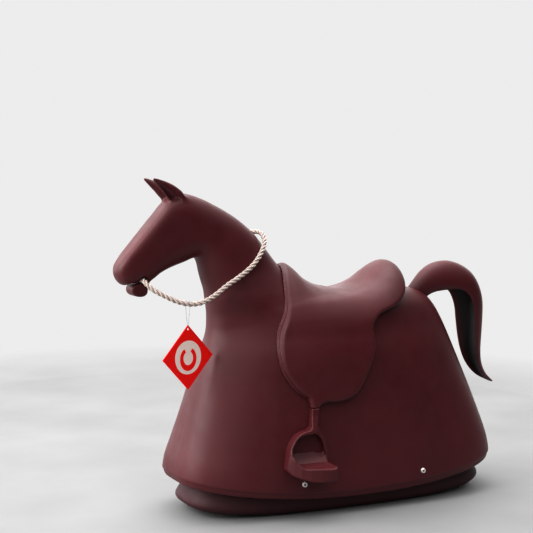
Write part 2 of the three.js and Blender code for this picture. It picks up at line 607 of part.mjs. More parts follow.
function tagSolid() {
  const corner = TAG_HALF_DIAGONAL;
  const outline = polygon([[0, -corner], [corner, 0], [0, corner], [-corner, 0]]);
  const hole = new THREE.Path();
  hole.absarc(0, corner - TAG_HOLE_DROP, TAG_HOLE_RADIUS, 0, 2 * Math.PI, true);
  outline.holes.push(hole);
  const cut = { depth: TAG_THICKNESS, bevelEnabled: false, curveSegments: 5 };
  const geometry = new THREE.ExtrudeGeometry(outline, cut);
  geometry.translate(0, 0, -TAG_THICKNESS / 2);
  const up = new THREE.Vector3(0, 0, 1);
  const normal = new THREE.Vector3().crossVectors(TAG_DIRECTION, up);
  geometry.applyMatrix4(new THREE.Matrix4().makeBasis(TAG_DIRECTION, up, normal).setPosition(TAG_CENTRE));
  return geometry;
}

// The clear loop goes round the rope and through the card's hole, in a plane square to the card.
const LOOP_RADIUS = 0.6;
const LOOP_SIDES = 8;
const LOOP_ROUTE = [ // [sideways, height above the hole's centre], one half, from the hole to the rope's top
  [0, 1.5], [1.5, 2.2], [2, 5], [2.2, 10], [4.2, 26], [6.4, 42], [7.2, 53], [5.4, 58.6], [0, 60.8],
];

function loopGeometry() {
  const hole = TAG_CENTRE.clone().setZ(TAG_CENTRE.z + TAG_HALF_DIAGONAL - TAG_HOLE_DROP);
  const sideways = new THREE.Vector3(-TAG_DIRECTION.y, TAG_DIRECTION.x, 0);
  const half = LOOP_ROUTE.slice(1, -1).map(([u, v]) => [-u, v]).reverse();
  const points = [...LOOP_ROUTE, ...half].map(([u, v]) => hole.clone()
    .addScaledVector(sideways, u).setZ(hole.z + v));
  const rings = points.map((centre, i) => {
    const ahead = points[(i + 1) % points.length];
    const behind = points[(i + points.length - 1) % points.length];
    const across = new THREE.Vector3().crossVectors(ahead.clone().sub(behind).normalize(), TAG_DIRECTION);
    return Array.from({ length: LOOP_SIDES }, (_, k) => (k / LOOP_SIDES) * 2 * Math.PI)
      .map((angle) => centre.clone().addScaledVector(across, LOOP_RADIUS * Math.cos(angle))
        .addScaledVector(TAG_DIRECTION, LOOP_RADIUS * Math.sin(angle)));
  });
  return ringGeometry(rings);
}

// ---------------------------------------------------------------- assembly
const shellFinish = finish(COLOUR.shell, 0.5);
const outside = formSolid(0).add(lowerJaw()).add(ear(1)).add(ear(-1)).subtract(mouthCut());
const hollow = formSolid(-WALL, { last: NECK_END, points: HOLLOW_POINTS, skirtDrop: SKIRT_DROP });
addPart('body_shell', cutAll(outside.subtract(hollow), wallHoles), shellFinish);
addPart('saddle', cutAll(saddleSolid(), blindHoles.saddle), shellFinish);

const stirrup = stirrupSolid();
addPart('stirrup_left', cutAll(stirrup, blindHoles.stirrup), shellFinish);
addPart('stirrup_right', cutAll(mirrored(stirrup), blindHoles.stirrup), shellFinish);
addPart('tail', cutAll(tailSolid(), blindHoles.tail), shellFinish);

addPart('rocker_base', baseSolid(), finish(COLOUR.dark, 0.55));
for (const [sideName, side] of leftRight) {
  addPart(`rubber_strip_${sideName}`, stripSolid(side), finish(COLOUR.rubber, 0.9));
}
for (const [name, shape, material] of fasteners) addPart(name, shape, material);

addPart('rein_rope', ropeGeometry(), finish(COLOUR.rope, 0.85));
addPart('rein_ferrule', rod(mouthPoint(-FERRULE_HALF), mouthPoint(FERRULE_HALF), FERRULE_RADIUS), steel);
addPart('swing_tag', tagSolid(), finish(COLOUR.red, 0.45));
addPart('tag_loop', loopGeometry(), finish(COLOUR.clear, 0.3));

export default group;
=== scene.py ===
import math

import bpy
import numpy as np
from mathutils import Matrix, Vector
from mathutils.bvhtree import BVHTree


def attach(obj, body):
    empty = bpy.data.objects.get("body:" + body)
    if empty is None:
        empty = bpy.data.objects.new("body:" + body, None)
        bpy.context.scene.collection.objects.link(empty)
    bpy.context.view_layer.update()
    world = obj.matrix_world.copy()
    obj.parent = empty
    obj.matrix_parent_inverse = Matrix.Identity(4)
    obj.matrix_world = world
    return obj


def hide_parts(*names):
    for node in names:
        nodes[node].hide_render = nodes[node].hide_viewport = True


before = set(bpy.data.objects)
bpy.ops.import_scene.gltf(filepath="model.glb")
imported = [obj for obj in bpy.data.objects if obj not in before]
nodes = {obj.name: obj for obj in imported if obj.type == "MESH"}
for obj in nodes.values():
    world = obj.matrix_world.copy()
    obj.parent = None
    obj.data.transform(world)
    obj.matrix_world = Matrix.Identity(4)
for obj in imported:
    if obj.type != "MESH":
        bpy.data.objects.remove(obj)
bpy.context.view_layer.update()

# A rocking horse moulded in one colour. All tables are in millimetres in the frame's axes:
# the nose points to +X, the horse's left side to +Y, and the floor is at zero.
MM = 0.001
UP = np.array([0, 0, 1.0])


# ------------------------------------------------------------------ small helpers
def linear(*srgb):
    """A linear colour from sRGB numbers of 0 to 255."""
    c = np.array(srgb, float) / 255
    c = np.where(c <= 0.04045, c / 12.92, ((c + 0.055) / 1.055) ** 2.4)
    return (*c, 1.0)


def make_object(name, points, faces, smooth=True):
    """A mesh object from points in millimetres."""
    mesh = bpy.data.meshes.new(name)
    mesh.from_pydata((np.asarray(points) * MM).tolist(), [], [list(f) for f in faces])
    if smooth:
        mesh.polygons.foreach_set("use_smooth", [True] * len(mesh.polygons))
    mesh.update()
    made = bpy.data.objects.new(name, mesh)
    bpy.context.scene.collection.objects.link(made)
    return made


def smooth_table(rows, per_gap):
    """Catmull-Rom between the rows of a table, with so many new rows to each gap."""
    rows = np.array(rows, float)
    ends = np.vstack([2 * rows[0] - rows[1], rows, 2 * rows[-1] - rows[-2]])
    out = []
    for i in range(len(rows) - 1):
        a, b, c, d = ends[i : i + 4]
        for k in range(per_gap):
            t = k / per_gap
            out.append(0.5 * (2 * b + (c - a) * t + (2 * a - 5 * b + 4 * c - d) * t**2
                              + (3 * b - 3 * c + d - a) * t**3))
    out.append(rows[-1])
    return np.array(out)


def curve_points(route, step, per_gap=24):
    """A centripetal Catmull-Rom curve through the route, as points about a step apart, and its length."""
    p = np.array(route, float)
    p = np.vstack([2 * p[0] - p[1], p, 2 * p[-1] - p[-2]])
    out = []
    for i in range(len(p) - 3):
        a, b, c, d = p[i : i + 4]
        k = [0.0]
        for u, v in ((a, b), (b, c), (c, d)):
            k.append(k[-1] + np.linalg.norm(v - u) ** 0.5)
        for t in np.linspace(k[1], k[2], per_gap, endpoint=False):
            ab = (k[1] - t) / (k[1] - k[0]) * a + (t - k[0]) / (k[1] - k[0]) * b
            bc = (k[2] - t) / (k[2] - k[1]) * b + (t - k[1]) / (k[2] - k[1]) * c
            cd = (k[3] - t) / (k[3] - k[2]) * c + (t - k[2]) / (k[3] - k[2]) * d
            abc = (k[2] - t) / (k[2] - k[0]) * ab + (t - k[0]) / (k[2] - k[0]) * bc
            bcd = (k[3] - t) / (k[3] - k[1]) * bc + (t - k[1]) / (k[3] - k[1]) * cd
            out.append((k[2] - t) / (k[2] - k[1]) * abc + (t - k[1]) / (k[2] - k[1]) * bcd)
    out = np.array(out + [p[-2]])
    run = np.concatenate([[0], np.cumsum(np.linalg.norm(np.diff(out, axis=0), axis=1))])
    count = max(2, round(run[-1] / step)) + 1
    even = np.linspace(0, run[-1], count)
    return np.stack([np.interp(even, run, out[:, k]) for k in range(3)], axis=1), run[-1]


def skin(rings, closed=False):
    """Points and faces of a skin over rings of as many points each, with flat ends unless it is closed."""
    rings = np.asarray(rings, float)
    count, around = rings.shape[:2]
    points = rings.reshape(-1, 3)
    faces = []
    for r in range(count if closed else count - 1):
        low, high = r * around, (r + 1) % count * around
        for i in range(around):
            j = (i + 1) % around
            faces.append((low + i, low + j, high + j, high + i))
    if not closed:
        faces.append(tuple(reversed(range(around))))
        faces.append(tuple(range((count - 1) * around, count * around)))
    return points, faces


def turned_out(points, faces):
    """The faces, all turned over if the closed skin is inside out."""
    volume = 0.0
    for f in faces:
        a = points[f[0]]
        for i in range(1, len(f) - 1):
            volume += np.dot(a, np.cross(points[f[i]], points[f[i + 1]]))
    return faces if volume > 0 else [tuple(reversed(f)) for f in faces]


def cut_out(obj, cutter):
    """Takes the closed cutter's space out of the piece, and removes the cutter."""
    change = obj.modifiers.new("cut", "BOOLEAN")
    change.operation, change.solver, change.object = "DIFFERENCE", "MANIFOLD", cutter
    made = bpy.data.meshes.new_from_object(obj.evaluated_get(bpy.context.evaluated_depsgraph_get()))
    obj.modifiers.clear()
    obj.data = made
    bpy.data.objects.remove(cutter)


def power(value, exponent):
    """A power that keeps the sign of its base."""
    return np.sign(value) * np.abs(value) ** exponent


def frames_along(line):
    """Two unit vectors across the line at each of its points, carried along without twist."""
    ahead = np.gradient(line, axis=0)
    ahead /= np.linalg.norm(ahead, axis=1)[:, None]
    side = np.cross(ahead[0], [0, 0, 1.0])
    if np.linalg.norm(side) < 0.1:
        side = np.cross(ahead[0], [0, 1.0, 0])
    sides = []
    for a in ahead:
        side = side - a * np.dot(side, a)
        side = side / np.linalg.norm(side)
        sides.append(side)
    sides = np.array(sides)
    return sides, np.cross(ahead, sides)


# ------------------------------------------------------------------ camera
WATCH_YAW = 0.4407
WATCH_PITCH = 0.0489
camera_data = bpy.data.cameras.new("camera")
camera_data.sensor_width = 36.0
camera_data.lens = 84.01
camera_data.shift_y = -0.06
camera_data.clip_end = 60.0
camera = bpy.data.objects.new("camera", camera_data)
bpy.context.scene.collection.objects.link(camera)
camera.location = (1.312, 2.5089, 0.739)
looking = Vector((-math.sin(WATCH_YAW) * math.cos(WATCH_PITCH),
                  -math.cos(WATCH_YAW) * math.cos(WATCH_PITCH), -math.sin(WATCH_PITCH)))
camera.rotation_euler = looking.to_track_quat("-Z", "Y").to_euler()
bpy.context.scene.camera = camera


# ------------------------------------------------------------------ materials
def new_material(name):
    material = bpy.data.materials.new(name)
    material.use_nodes = True
    tree = material.node_tree
    return material, tree, tree.nodes["Principled BSDF"]


def noise(tree, scale, detail, vector, roughness=0.5):
    made = tree.nodes.new("ShaderNodeTexNoise")
    made.inputs["Scale"].default_value = scale
    made.inputs["Detail"].default_value = detail
    made.inputs["Roughness"].default_value = roughness
    tree.links.new(vector, made.inputs["Vector"])
    return made.outputs["Fac"]


def spread(tree, source, low, high, start=0.3, end=0.7):
    """A number from 0 to 1 made to run from low to high."""
    made = tree.nodes.new("ShaderNodeMapRange")
    for key, value in (("From Min", start), ("From Max", end), ("To Min", low), ("To Max", high)):
        made.inputs[key].default_value = value
    tree.links.new(source, made.inputs["Value"])
    return made.outputs["Result"]


def mixed(tree, share, first, second):
    """A colour between two others, each given as a value or as another node's output."""
    made = tree.nodes.new("ShaderNodeMix")
    made.data_type = "RGBA"
    for key, value in (("A", first), ("B", second)):
        socket = [s for s in made.inputs if s.name == key and s.type == "RGBA"][0]
        if isinstance(value, tuple):
            socket.default_value = value
        else:
            tree.links.new(value, socket)
    tree.links.new(share, made.inputs["Factor"])
    return [s for s in made.outputs if s.type == "RGBA"][0]


def bumped(tree, height, strength, distance, below=None):
    """A normal from a height, on top of the relief below it if there is one."""
    made = tree.nodes.new("ShaderNodeBump")
    made.inputs["Strength"].default_value = strength
    made.inputs["Distance"].default_value = distance
    tree.links.new(height, made.inputs["Height"])
    if below is not None:
        tree.links.new(below, made.inputs["Normal"])
    return made.outputs["Normal"]


def object_place(tree):
    return tree.nodes.new("ShaderNodeTexCoord").outputs["Object"]


# Painted shade: the near-black colour that the deep parts of a scoop are darkened to.
PAINTED_SCOOP_SHADE = linear(12, 6, 7)
FLECK_SHADE = 0.82
PLASTIC_IOR = 1.46


def plastic(name, dark, light, gloss=(0.44, 0.54), grain=0.16, hollow=None):
    """Moulded polyethylene: a cloudy colour, a fine orange-peel skin and slow waves from shrinkage.
    hollow names an attribute of the points that is 1 deep in a scoop; there the colour is darkened to near
    black as painted shade, since hardly any light gets in."""
    material, tree, shader = new_material(name)
    place = object_place(tree)
    cloud = noise(tree, 9.0, 4.0, place)
    fleck = noise(tree, 420.0, 2.0, place)
    colour = mixed(tree, spread(tree, cloud, 0.0, 1.0), dark, light)
    deeper = tuple(FLECK_SHADE * c for c in dark[:3]) + (1.0,)
    colour = mixed(tree, spread(tree, fleck, 0.0, 0.35, 0.5, 0.75), colour, deeper)
    if hollow:
        # Painted shade: the colour darkens to near black deep in the scoop.
        depth = tree.nodes.new("ShaderNodeAttribute")
        depth.attribute_name = hollow
        colour = mixed(tree, spread(tree, depth.outputs["Fac"], 0.0, 1.0, 0.05, 0.45), colour, PAINTED_SCOOP_SHADE)
    tree.links.new(colour, shader.inputs["Base Color"])
    tree.links.new(spread(tree, noise(tree, 35.0, 5.0, place), *gloss), shader.inputs["Roughness"])
    waves = bumped(tree, noise(tree, 24.0, 2.0, place), 0.10, 0.0012)
    peel = bumped(tree, noise(tree, 900.0, 2.0, place), grain, 0.0002, waves)
    tree.links.new(peel, shader.inputs["Normal"])
    shader.inputs["IOR"].default_value = PLASTIC_IOR
    return material


def metal(name, dark, light, gloss=(0.18, 0.34), bare=1.0):
    """Turned or rolled metal with fine scratches. bare is below 1 for a dull plated surface."""
    material, tree, shader = new_material(name)
    place = object_place(tree)
    stretch = tree.nodes.new("ShaderNodeMapping")
    stretch.inputs["Scale"].default_value = (1.0, 8.0, 1.0)
    tree.links.new(place, stretch.inputs["Vector"])
    lines = noise(tree, 700.0, 3.0, stretch.outputs["Vector"])
    tree.links.new(mixed(tree, spread(tree, noise(tree, 160.0, 3.0, place), 0.0, 1.0), dark, light),
                   shader.inputs["Base Color"])
    tree.links.new(spread(tree, lines, *gloss), shader.inputs["Roughness"])
    tree.links.new(bumped(tree, lines, 0.12, 0.0001), shader.inputs["Normal"])
    shader.inputs["Metallic"].default_value = bare
    return material


SHELL_DARK = linear(75, 21, 27)
SHELL_LIGHT = linear(84, 25, 31)
shell_plastic = plastic("shell_plastic", SHELL_DARK, SHELL_LIGHT)
base_plastic = plastic("base_plastic", linear(56, 20, 26), linear(66, 25, 31), (0.55, 0.68), 0.22)
steel = metal("zinc_steel", linear(214, 213, 208), linear(240, 239, 235), (0.34, 0.5), 0.4)
brass = metal("insert_brass", linear(166, 132, 70), linear(196, 160, 92))


def rubber_material():
    material, tree, shader = new_material("strip_rubber")
    place = object_place(tree)
    dust = noise(tree, 60.0, 5.0, place)
    tree.links.new(mixed(tree, spread(tree, dust, 0.0, 1.0), linear(22, 22, 23), linear(44, 43, 42)),
                   shader.inputs["Base Color"])
    tree.links.new(spread(tree, dust, 0.72, 0.92), shader.inputs["Roughness"])
    tree.links.new(bumped(tree, noise(tree, 500.0, 2.0, place), 0.3, 0.0003), shader.inputs["Normal"])
    return material


def clear_material():
    material, tree, shader = new_material("loop_clear")
    place = object_place(tree)
    haze = noise(tree, 300.0, 3.0, place)
    tree.links.new(mixed(tree, spread(tree, haze, 0.0, 1.0), linear(206, 208, 210), linear(236, 238, 240)),
                   shader.inputs["Base Color"])
    tree.links.new(spread(tree, haze, 0.12, 0.26), shader.inputs["Roughness"])
    shader.inputs["Transmission Weight"].default_value = 0.75
    shader.inputs["IOR"].default_value = 1.52
    return material


def rope_material():
    """Twisted fibre: each strand is laid from fine yarns, and the valleys between strands are darkened as
    painted shade.
    """
    material, tree, shader = new_material("rope_fibre")
    uv = tree.nodes.new("ShaderNodeUVMap")
    uv.uv_map = "Lay"
    stretch = tree.nodes.new("ShaderNodeMapping")
    stretch.inputs["Scale"].default_value = (260.0, 40.0, 1.0)
    tree.links.new(uv.outputs["UV"], stretch.inputs["Vector"])
    fibre = noise(tree, 1.0, 4.0, stretch.outputs["Vector"], 0.6)
    patch = noise(tree, 55.0, 3.0, object_place(tree))
    valley = tree.nodes.new("ShaderNodeAttribute")
    valley.attribute_name = "valley"
    colour = mixed(tree, spread(tree, fibre, 0.0, 1.0), linear(176, 162, 154), linear(222, 210, 203))
    colour = mixed(tree, spread(tree, patch, 0.0, 0.3), colour, linear(192, 172, 160))
    # Painted shade in the valleys between the strands.
    colour = mixed(tree, spread(tree, valley.outputs["Fac"], 0.0, 0.75, 0.0, 1.0), colour,
                   linear(132, 108, 98))
    tree.links.new(colour, shader.inputs["Base Color"])
    tree.links.new(spread(tree, fibre, 0.7, 0.92), shader.inputs["Roughness"])
    tree.links.new(bumped(tree, fibre, 0.55, 0.0006), shader.inputs["Normal"])
    shader.inputs["Sheen Weight"].default_value = 0.25
    shader.inputs["Sheen Roughness"].default_value = 0.5
    return material


def printed(name, dark, light):
    """Coated card: ink with a little mottle over a faint fibre relief."""
    material, tree, shader = new_material(name)
    place = object_place(tree)
    mottle = noise(tree, 220.0, 4.0, place)
    tree.links.new(mixed(tree, spread(tree, mottle, 0.0, 1.0), dark, light), shader.inputs["Base Color"])
    tree.links.new(spread(tree, noise(tree, 90.0, 3.0, place), 0.5, 0.62), shader.inputs["Roughness"])
    tree.links.new(bumped(tree, noise(tree, 1400.0, 3.0, place), 0.15, 0.0001), shader.inputs["Normal"])
    shader.inputs["Specular IOR Level"].default_value = 0.25
    return material


rubber = rubber_material()
clear = clear_material()
rope_fibre = rope_material()
card_red = printed("tag_card_red", linear(246, 16, 12), linear(254, 24, 18))
card_pale = printed("tag_card_pale", linear(246, 222, 214), linear(252, 232, 224))


def dress(obj, material, body, slot, *replaced):
    """Gives a piece its material and body, and hides the CAD nodes that it stands for. slot is not used."""
    obj.data.materials.clear()
    obj.data.materials.append(material)
    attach(obj, body)
    if replaced:
        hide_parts(*replaced)
    return obj


# ------------------------------------------------------------------ rope rein
ROPE_DIAMETER = 10.6
ROPE_LAY = 35.0  # length in which a strand goes once round
ROPE_AROUND = 36
ROPE_STEP = 1.5
ROPE_FULLNESS = 1.07  # the strands' crests stand out past the nominal size
STRAND_SHARE = 0.464  # radius of one of three touching strands, as a share of the rope's
VALLEY_SHARE = 0.62
FIBRE_TURNS = 6  # UV units to a metre of rope
ROPE_ROUTE = [
    (428, 13.4, 514), (429, 26, 513.5), (427, 38, 508), (418, 47, 497), (393, 57, 482), (368, 64, 470),
    (340, 69, 463), (312, 71, 466), (283, 71, 480), (254, 70, 500), (223, 68, 518), (192, 64.5, 540),
    (167, 54, 566), (151, 37, 588), (146, 17, 604), (149, 0, 610), (157, -18, 609), (170, -37, 604),
    (192, -52, 595), (222, -60, 581), (255, -59, 568), (290, -57, 557), (325, -54, 546), (360, -51, 535),
    (395, -47, 524), (419, -41, 516), (428, -28, 513.5), (428, -13.4, 514),
]


def rope_rein():
    """Three strands laid together: one skin whose section is three touching circles, turning as it goes."""
    line, length = curve_points(ROPE_ROUTE, ROPE_STEP)
    outside = ROPE_DIAMETER / 2 * ROPE_FULLNESS
    strand = outside * STRAND_SHARE
    offset = outside - strand
    angles = np.arange(ROPE_AROUND) / ROPE_AROUND * 2 * math.pi
    off_centre = (angles + math.pi / 3) % (2 * math.pi / 3) - math.pi / 3
    bulge = np.sqrt(np.maximum(strand**2 - (offset * np.sin(off_centre)) ** 2, 0))
    radius = np.maximum(offset * np.cos(off_centre) + bulge, VALLEY_SHARE * outside)
    sides, ups = frames_along(line)
    run = np.arange(len(line)) * length / (len(line) - 1)
    turn = 2 * math.pi * run / ROPE_LAY
    a = angles[None, :] + turn[:, None]
    rings = line[:, None, :] + radius[None, :, None] * (
        np.cos(a)[..., None] * sides[:, None, :] + np.sin(a)[..., None] * ups[:, None, :])
    points, faces = skin(rings)
    rope = make_object("rein_rope_laid", points, turned_out(points, faces))
    # How deep each point lies in a valley between strands, for the painted shade there.
    valley = rope.data.attributes.new("valley", "FLOAT", "POINT")
    depth = 1 - (radius - radius.min()) / (radius.max() - radius.min())
    valley.data.foreach_set("value", np.tile(depth**2, len(line)).astype(np.float32))
    layer = rope.data.uv_layers.new(name="Lay")
    across = angles / (2 * math.pi)
    uv = np.stack([np.tile(across, len(line)), np.repeat(run * MM * FIBRE_TURNS, ROPE_AROUND)], axis=1)
    corner = np.empty(len(rope.data.loops), int)
    rope.data.loops.foreach_get("vertex_index", corner)
    layer.data.foreach_set("uv", uv[corner].astype(np.float32).ravel())
    return rope, line


rope, rope_line = rope_rein()
dress(rope, rope_fibre, "horse", "rope_fibre", "rein_rope")


# ------------------------------------------------------------------ tag's loop and rope's ferrule
TAG_CENTRE = np.array([345, 68.4, 350.0])
TAG_ALONG = np.array([0.948, 0.317, 0])
TAG_OUT = np.array([-0.317, 0.948, 0])
TAG_HOLE = TAG_CENTRE + 60 * UP
LOOP_RADIUS = 0.55
LOOP_AROUND = 10
# [sideways, height above the hole], one half, from the hole to the top of the rope
LOOP_ROUTE = [(0, 1.5), (1.5, 2.2), (2, 5), (2.2, 10), (4.2, 26), (6.4, 42), (7.2, 53), (5.4, 58.6),
              (0, 60.8)]


def thin_loop():
    """The clear filament round the rope and through the card's hole."""
    route = LOOP_ROUTE + [(-u, v) for u, v in reversed(LOOP_ROUTE[1:-1])]
    knots = np.array([TAG_HOLE + TAG_OUT * u + UP * v for u, v in route])
    rounded = smooth_table(np.vstack([knots, knots[:1]]), 5)[:-1]
    angles = np.arange(LOOP_AROUND) / LOOP_AROUND * 2 * math.pi
    rings = []
    for i, centre in enumerate(rounded):
        ahead = rounded[(i + 1) % len(rounded)] - rounded[i - 1]
        across = np.cross(ahead / np.linalg.norm(ahead), TAG_ALONG)
        rings.append([centre + LOOP_RADIUS * (math.cos(a) * across + math.sin(a) * TAG_ALONG)
                      for a in angles])
    points, faces = skin(rings, closed=True)
    return make_object("tag_loop_filament", points, turned_out(points, faces))


loop = dress(thin_loop(), clear, "tag", "loop_clear", "tag_loop")


MOUTH = (428, 514)  # x and z where the rope goes through the mouth
FERRULE_AROUND = 24
FERRULE_HALF = [(5, 6.3), (6.6, 5.9), (8, 6.35), (11.6, 6.35), (12.6, 6.0), (13, 5.2)]  # [y, radius]


def ferrule():
    """A crimped sleeve with rolled ends that joins the rope's two ends inside the mouth."""
    profile = [(-y, r) for y, r in reversed(FERRULE_HALF)] + FERRULE_HALF
    angles = np.arange(FERRULE_AROUND) / FERRULE_AROUND * 2 * math.pi
    rings = [[(MOUTH[0] + r * math.cos(a), y, MOUTH[1] + r * math.sin(a)) for a in angles]
             for y, r in profile]
    points, faces = skin(rings)
    return make_object("rein_ferrule_crimped", points, turned_out(points, faces))


sleeve = dress(ferrule(), steel, "horse", "screw_steel", "rein_ferrule")


# ------------------------------------------------------------------ solids from fields
# A field says how far a point is outside a shape, and is negative inside. The moulded pieces are made as
# the zero surface of such a field, because their edges and corners all run into each other in soft fillets.
def soft_min(a, b, width):
    """Two shapes joined, with a fillet between them."""
    blend = np.clip(0.5 + 0.5 * (b - a) / width, 0, 1)
    return b + (a - b) * blend - width * blend * (1 - blend)


def soft_max(a, b, width):
    """Where two shapes overlap, with the edge between them softened."""
    return -soft_min(-a, -b, width)


def round_max(a, b, radius):
    """Where two shapes overlap, with the edge between them rounded to a radius."""
    both = np.hypot(np.maximum(a + radius, 0), np.maximum(b + radius, 0))
    return np.minimum(np.maximum(a, b), -radius) + both


LEG_POINTS = 10


def outline(start, *legs):
    """A closed outline from straight legs (x, z) and curved legs (x, z of the pull, x, z of the end)."""
    out = [start]
    for leg in legs:
        if len(leg) == 2:
            out.append(leg)
            continue
        (x0, z0), (cx, cz, x1, z1) = out[-1], leg
        for t in np.arange(1, LEG_POINTS + 1) / LEG_POINTS:
            out.append(((1 - t) ** 2 * x0 + 2 * t * (1 - t) * cx + t * t * x1,
                        (1 - t) ** 2 * z0 + 2 * t * (1 - t) * cz + t * t * z1))
    return np.array(out, float)


def flat_distance(shape, u, v):
    """How far points in a plane are outside a closed outline."""
    best = np.full(len(u), np.inf)
    inside = np.zeros(len(u), bool)
    for (ax, ay), (bx, by) in zip(shape, np.roll(shape, -1, axis=0)):
        ex, ey = bx - ax, by - ay
        span = ex * ex + ey * ey
        if span == 0:
            continue
        t = np.clip(((u - ax) * ex + (v - ay) * ey) / span, 0, 1)
        best = np.minimum(best, (u - ax - t * ex) ** 2 + (v - ay - t * ey) ** 2)
        crosses = (ay > v) != (by > v)
        if ey != 0:
            inside ^= crosses & (u < ax + (v - ay) / ey * ex)
    return np.where(inside, -1, 1) * np.sqrt(best)


def unit_slope(field, x, y, z):
    """A field turned into nearly true distance by dividing by its slope, felt half a millimetre away."""
    h = 0.5
    value = field(x, y, z)
    slope = np.sqrt((field(x + h, y, z) - value) ** 2 + (field(x, y + h, z) - value) ** 2
                    + (field(x, y, z + h) - value) ** 2) / h
    return value / np.maximum(slope, 1e-4)


def tree_distance(tree, x, y, z):
    """How far points are outside the closed mesh in a tree."""
    out = np.empty(len(x))
    nearest = tree.find_nearest
    for i, p in enumerate(zip(x.tolist(), y.tolist(), z.tolist())):
        at, normal, _, far = nearest(p)
        if (p[0] - at[0]) * normal[0] + (p[1] - at[1]) * normal[1] + (p[2] - at[2]) * normal[2] < 0:
            far = -far
        out[i] = far
    return out


COARSE = 4
REACH = 0.62  # how near to the surface counts as near, as a share of a coarse cell's diagonal
EDGES = [(a, b) for a in range(8) for b in range(a + 1, 8) if bin(a ^ b).count("1") == 1]


def sampled(field, xs, ys, zs):
    """The field on a grid. Only nodes near the surface are worked out, the others are filled in."""
    lines = (xs, ys, zs)
    coarse = [sorted(set(list(range(0, len(a), COARSE)) + [len(a) - 1])) for a in lines]
    spots = np.meshgrid(*[a[i] for a, i in zip(lines, coarse)], indexing="ij")
    rough = field(*[s.ravel() for s in spots]).reshape(spots[0].shape)
    full = rough
    for axis, (a, picked) in enumerate(zip(lines, coarse)):
        at = np.interp(np.arange(len(a)), picked, np.arange(len(picked)))
        low = np.minimum(at.astype(int), len(picked) - 2)
        share = at - low
        shape = [1, 1, 1]
        shape[axis] = len(a)
        share = share.reshape(shape)
        full = np.take(full, low, axis) * (1 - share) + np.take(full, low + 1, axis) * share
    gaps = [np.interp(a, (a[i][1:] + a[i][:-1]) / 2, np.diff(a[i])) for a, i in zip(lines, coarse)]
    wide, deep, high = np.meshgrid(*gaps, indexing="ij")
    reach = REACH * np.sqrt(wide**2 + deep**2 + high**2)
    i, j, k = np.nonzero(np.abs(full) < reach)
    full[i, j, k] = field(xs[i], ys[j], zs[k])
    return full


def net(values, xs, ys, zs):
    """Surface nets: a point in each cell that the surface passes, and a four-sided face across each edge."""
    inside = values < 0
    corners = [(c & 1, c >> 1 & 1, c >> 2 & 1) for c in range(8)]
    size = tuple(n - 1 for n in values.shape)
    count = sum(inside[a : a + size[0], b : b + size[1], c : c + size[2]].astype(np.int8)
                for a, b, c in corners)
    i, j, k = np.nonzero((count > 0) & (count < 8))
    index = np.full(size, -1)
    index[i, j, k] = np.arange(len(i))
    at = [values[i + a, j + b, k + c] for a, b, c in corners]
    place = [np.stack([xs[i + a], ys[j + b], zs[k + c]], axis=1) for a, b, c in corners]
    total, hits = np.zeros((len(i), 3)), np.zeros(len(i))
    for a, b in EDGES:
        cut = (at[a] < 0) != (at[b] < 0)
        share = np.where(cut, at[a] / np.where(cut, at[a] - at[b], 1), 0)[:, None]
        total += cut[:, None] * (place[a] + share * (place[b] - place[a]))
        hits += cut
    points = total / hits[:, None]
    faces = []
    for axis in range(3):
        u, v = (axis + 1) % 3, (axis + 2) % 3
        low = [slice(1, n - 1) for n in values.shape]
        high = list(low)
        low[axis], high[axis] = slice(0, -1), slice(1, None)
        first, second = inside[tuple(low)], inside[tuple(high)]
        e = np.array(np.nonzero(first != second))
        e[u] += 1
        e[v] += 1
        out = inside[tuple(e)]
        around = []
        for du, dv in ((1, 1), (0, 1), (0, 0), (1, 0)):
            cell = e.copy()
            cell[u] -= du
            cell[v] -= dv
            around.append(index[tuple(cell)])
        quad = np.stack(around, axis=1)
        faces.append(np.where(out[:, None], quad, quad[:, ::-1]))
    faces = np.concatenate(faces)
    return points, faces[(faces >= 0).all(axis=1)]


def relaxed(points, faces, rounds):
    """Evens out the skin. Every second step pushes outwards, so that the skin doesn't shrink."""
    pairs = np.concatenate([faces[:, [a, (a + 1) % 4]] for a in range(4)])
    pairs = np.concatenate([pairs, pairs[:, ::-1]])
    count = np.bincount(pairs[:, 0], minlength=len(points))[:, None]
    for step in [0.5, -0.52] * rounds:
        total = [np.bincount(pairs[:, 0], points[pairs[:, 1], k], len(points)) for k in range(3)]
        points = points + step * (np.stack(total, axis=1) / count - points)
    return points


def moulded(field, xs, ys, zs, both_sides=False):
    """A piece from its field. With both_sides the field is only worked out for +Y and mirrored."""
    values = sampled(field, xs, ys, zs)
    if both_sides:
        values = np.concatenate([values[:, ::-1], values], axis=1)
        ys = np.concatenate([-ys[::-1], ys])
    points, faces = net(values, xs, ys, zs)
    return relaxed(points, faces, 2), faces


def steps(*stops):
    """Grid lines from stops (place, step from here on), the last one being the end."""
    out = []
    for (a, step), (b, _) in zip(stops, stops[1:]):
        out.extend(np.linspace(a, b, max(1, round((b - a) / step)), endpoint=False))
    out.append(stops[-1][0])
    return np.array(out)


def half_steps(end, step, *further):
    """Grid lines that stand clear of the middle plane by half a step, wider apart in the further stops."""
    return steps((step / 2, step), *further, (end, 1))


